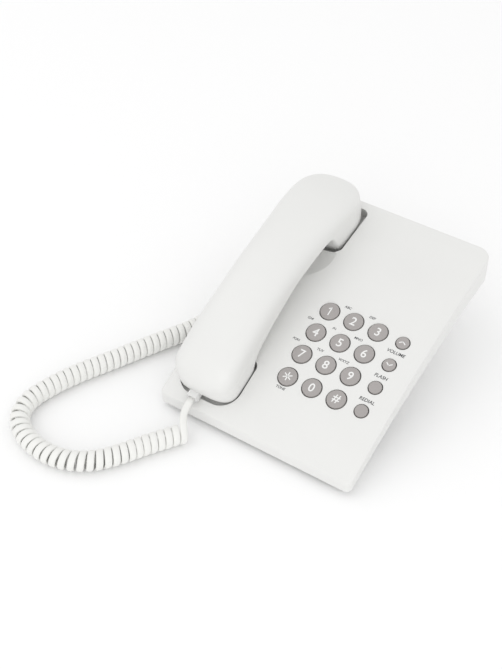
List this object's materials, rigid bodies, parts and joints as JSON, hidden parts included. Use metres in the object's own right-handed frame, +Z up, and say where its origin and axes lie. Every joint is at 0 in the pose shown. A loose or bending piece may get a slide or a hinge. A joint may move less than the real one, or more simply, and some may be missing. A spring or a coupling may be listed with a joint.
{
  "type": "corded desk telephone",
  "caption": "Corded desk telephone: arched white base with a grey keypad, a cradled handset and a curly cord that runs back to the base.",
  "frame": {"origin": "middle of the base's footprint on the surface that the feet stand on, without the cord", "axes": "+X right, +Y from the front edge to the rear, +Z up"},
  "size_m": [0.2292, 0.2834, 0.0955],
  "materials": {
    "casing": "white ABS, fine satin texture",
    "key_plastic": "warm grey, moulded, white printed digit",
    "keypad_rubber": "silicone",
    "circuit_board": "green solder mask",
    "component_body": "black moulding",
    "screw_steel": "zinc plated",
    "ballast_steel": "plain sheet",
    "socket_plastic": "dark moulding",
    "knob_plastic": "grey moulding",
    "plug_clear": "clear polycarbonate",
    "cord_jacket": "soft PVC, slightly satin",
    "gasket_rubber": "closed-cell foam rubber",
    "foot_rubber": "soft rubber"
  },
  "bodies": {
    "base": {"top_cover": "casing", "bottom_cover": "casing", "desk_stand": "casing", "rubber_feet": "foot_rubber", "cover_screws": "screw_steel", "stand_screws": "screw_steel", "keypad_sheet": "keypad_rubber", "main_board": "circuit_board", "board_screws": "screw_steel", "board_components": "component_body", "hook_switch": "component_body", "wall_hanger": "casing", "ringer_sounder": "component_body", "base_weight": "ballast_steel", "base_cord_socket": "socket_plastic", "line_socket": "socket_plastic", "dial_switch": "socket_plastic", "ringer_switch": "socket_plastic", "base_end_plug": "plug_clear", "base_lead": "cord_jacket", "curly_cord": "cord_jacket", "handset_lead": "cord_jacket"},
    "handset": {"handset_upper_shell": "casing", "handset_lower_shell": "casing", "handset_screws": "screw_steel", "receiver_gasket": "gasket_rubber", "receiver_capsule": "component_body", "microphone_gasket": "gasket_rubber", "microphone_capsule": "ballast_steel", "handset_weight": "ballast_steel", "handset_cord_socket": "socket_plastic", "handset_end_plug": "plug_clear"},
    "hook_plunger": {"hook_plunger": "casing"},
    "dial_switch_knob": {"dial_switch_knob": "knob_plastic"},
    "ringer_switch_knob": {"ringer_switch_knob": "knob_plastic"},
    "key_1": {"key_1": "key_plastic"},
    "key_2": {"key_2": "key_plastic"},
    "key_3": {"key_3": "key_plastic"},
    "key_volume_up": {"key_volume_up": "key_plastic"},
    "key_4": {"key_4": "key_plastic"},
    "key_5": {"key_5": "key_plastic"},
    "key_6": {"key_6": "key_plastic"},
    "key_volume_down": {"key_volume_down": "key_plastic"},
    "key_7": {"key_7": "key_plastic"},
    "key_8": {"key_8": "key_plastic"},
    "key_9": {"key_9": "key_plastic"},
    "key_flash": {"key_flash": "key_plastic"},
    "key_star": {"key_star": "key_plastic"},
    "key_0": {"key_0": "key_plastic"},
    "key_hash": {"key_hash": "key_plastic"},
    "key_redial": {"key_redial": "key_plastic"}
  },
  "joints": [
    {"name": "handset_lift", "type": "slide", "parent": "base", "child": "handset", "axis": [0, -0.2785, 0.9604], "range_m": [0, 0.12]},
    {"name": "hook_plunger_rise", "type": "slide", "parent": "base", "child": "hook_plunger", "axis": [0, -0.2785, 0.9604], "range_m": [0, 0.004]},
    {"name": "dial_switch_slide", "type": "slide", "parent": "base", "child": "dial_switch_knob", "axis": [1, 0, 0], "range_m": [0, 0.0056]},
    {"name": "ringer_switch_slide", "type": "slide", "parent": "base", "child": "ringer_switch_knob", "axis": [1, 0, 0], "range_m": [-0.0028, 0.0028]},
    {"name": "key_1_press", "type": "slide", "parent": "base", "child": "key_1", "axis": [0, 0.3177, -0.9482], "range_m": [0, 0.0015], "stiffness_N_per_m": 500, "springref_m": -0.0008},
    {"name": "key_2_press", "type": "slide", "parent": "base", "child": "key_2", "axis": [0, 0.3177, -0.9482], "range_m": [0, 0.0015], "stiffness_N_per_m": 500, "springref_m": -0.0008},
    {"name": "key_3_press", "type": "slide", "parent": "base", "child": "key_3", "axis": [0, 0.3177, -0.9482], "range_m": [0, 0.0015], "stiffness_N_per_m": 500, "springref_m": -0.0008},
    {"name": "key_volume_up_press", "type": "slide", "parent": "base", "child": "key_volume_up", "axis": [0, 0.3177, -0.9482], "range_m": [0, 0.0015], "stiffness_N_per_m": 500, "springref_m": -0.0008},
    {"name": "key_4_press", "type": "slide", "parent": "base", "child": "key_4", "axis": [0, 0.3177, -0.9482], "range_m": [0, 0.0015], "stiffness_N_per_m": 500, "springref_m": -0.0008},
    {"name": "key_5_press", "type": "slide", "parent": "base", "child": "key_5", "axis": [0, 0.3177, -0.9482], "range_m": [0, 0.0015], "stiffness_N_per_m": 500, "springref_m": -0.0008},
    {"name": "key_6_press", "type": "slide", "parent": "base", "child": "key_6", "axis": [0, 0.3177, -0.9482], "range_m": [0, 0.0015], "stiffness_N_per_m": 500, "springref_m": -0.0008},
    {"name": "key_volume_down_press", "type": "slide", "parent": "base", "child": "key_volume_down", "axis": [0, 0.3177, -0.9482], "range_m": [0, 0.0015], "stiffness_N_per_m": 500, "springref_m": -0.0008},
    {"name": "key_7_press", "type": "slide", "parent": "base", "child": "key_7", "axis": [0, 0.3177, -0.9482], "range_m": [0, 0.0015], "stiffness_N_per_m": 500, "springref_m": -0.0008},
    {"name": "key_8_press", "type": "slide", "parent": "base", "child": "key_8", "axis": [0, 0.3177, -0.9482], "range_m": [0, 0.0015], "stiffness_N_per_m": 500, "springref_m": -0.0008},
    {"name": "key_9_press", "type": "slide", "parent": "base", "child": "key_9", "axis": [0, 0.3177, -0.9482], "range_m": [0, 0.0015], "stiffness_N_per_m": 500, "springref_m": -0.0008},
    {"name": "key_flash_press", "type": "slide", "parent": "base", "child": "key_flash", "axis": [0, 0.3177, -0.9482], "range_m": [0, 0.0015], "stiffness_N_per_m": 500, "springref_m": -0.0008},
    {"name": "key_star_press", "type": "slide", "parent": "base", "child": "key_star", "axis": [0, 0.3177, -0.9482], "range_m": [0, 0.0015], "stiffness_N_per_m": 500, "springref_m": -0.0008},
    {"name": "key_0_press", "type": "slide", "parent": "base", "child": "key_0", "axis": [0, 0.3177, -0.9482], "range_m": [0, 0.0015], "stiffness_N_per_m": 500, "springref_m": -0.0008},
    {"name": "key_hash_press", "type": "slide", "parent": "base", "child": "key_hash", "axis": [0, 0.3177, -0.9482], "range_m": [0, 0.0015], "stiffness_N_per_m": 500, "springref_m": -0.0008},
    {"name": "key_redial_press", "type": "slide", "parent": "base", "child": "key_redial", "axis": [0, 0.3177, -0.9482], "range_m": [0, 0.0015], "stiffness_N_per_m": 500, "springref_m": -0.0008}
  ],
  "couplings": [
    {"joint": "hook_plunger_rise", "follows": "handset_lift", "ratio": 0.033333}
  ]
}
